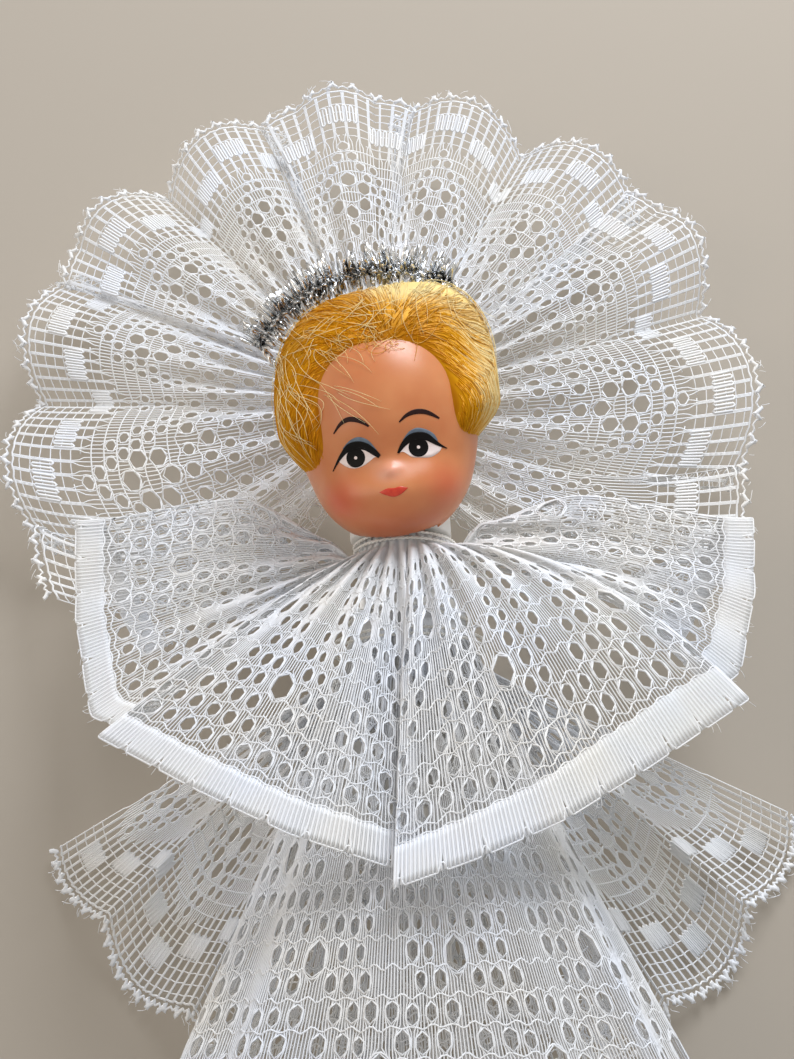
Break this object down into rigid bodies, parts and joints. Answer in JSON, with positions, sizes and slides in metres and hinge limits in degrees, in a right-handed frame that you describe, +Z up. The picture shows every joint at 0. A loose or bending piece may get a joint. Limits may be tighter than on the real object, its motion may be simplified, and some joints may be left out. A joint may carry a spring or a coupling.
{
  "type": "angel tree topper",
  "caption": "Angel tree topper: a doll head with hair and tinsel halo turning on a support cone, with a fluted lace wheel behind it and a gathered lace collar, skirt and back ruffle.",
  "frame": {"origin": "middle of the support cone's open mouth", "axes": "+Z up along the cone, -Y the way the face looks, +X to the viewer's right"},
  "size_m": [0.1474, 0.0522, 0.2139],
  "materials": {
    "white_plastic": "satin",
    "vinyl_skin": "soft gloss",
    "hair_fibre": "combed glossy fibre",
    "tinsel_core": "twisted wire",
    "tinsel_foil": "bright foil",
    "covered_wire": "thread covered",
    "scalloped_lace": "openwork nylon lace",
    "hemmed_lace": "openwork nylon lace",
    "thread": "sewing thread"
  },
  "bodies": {
    "dress": {"support_cone": "white_plastic", "neck_plug": "white_plastic", "wing_wire": "covered_wire", "wing_lace": "scalloped_lace", "wing_thread": "thread", "collar_lace": "hemmed_lace", "collar_thread": "thread", "skirt_lace": "hemmed_lace", "skirt_thread": "thread", "ruffle_lace": "scalloped_lace", "ruffle_thread": "thread"},
    "head": {"head_shell": "vinyl_skin", "hair": "hair_fibre", "halo_wire": "tinsel_core", "halo_tinsel": "tinsel_foil"}
  },
  "joints": [
    {"name": "head_turn", "type": "hinge", "parent": "dress", "child": "head", "pos_m": [0, 0, 0.0475], "axis": [0, 0, 1], "range_deg": [-25, 25]}
  ]
}
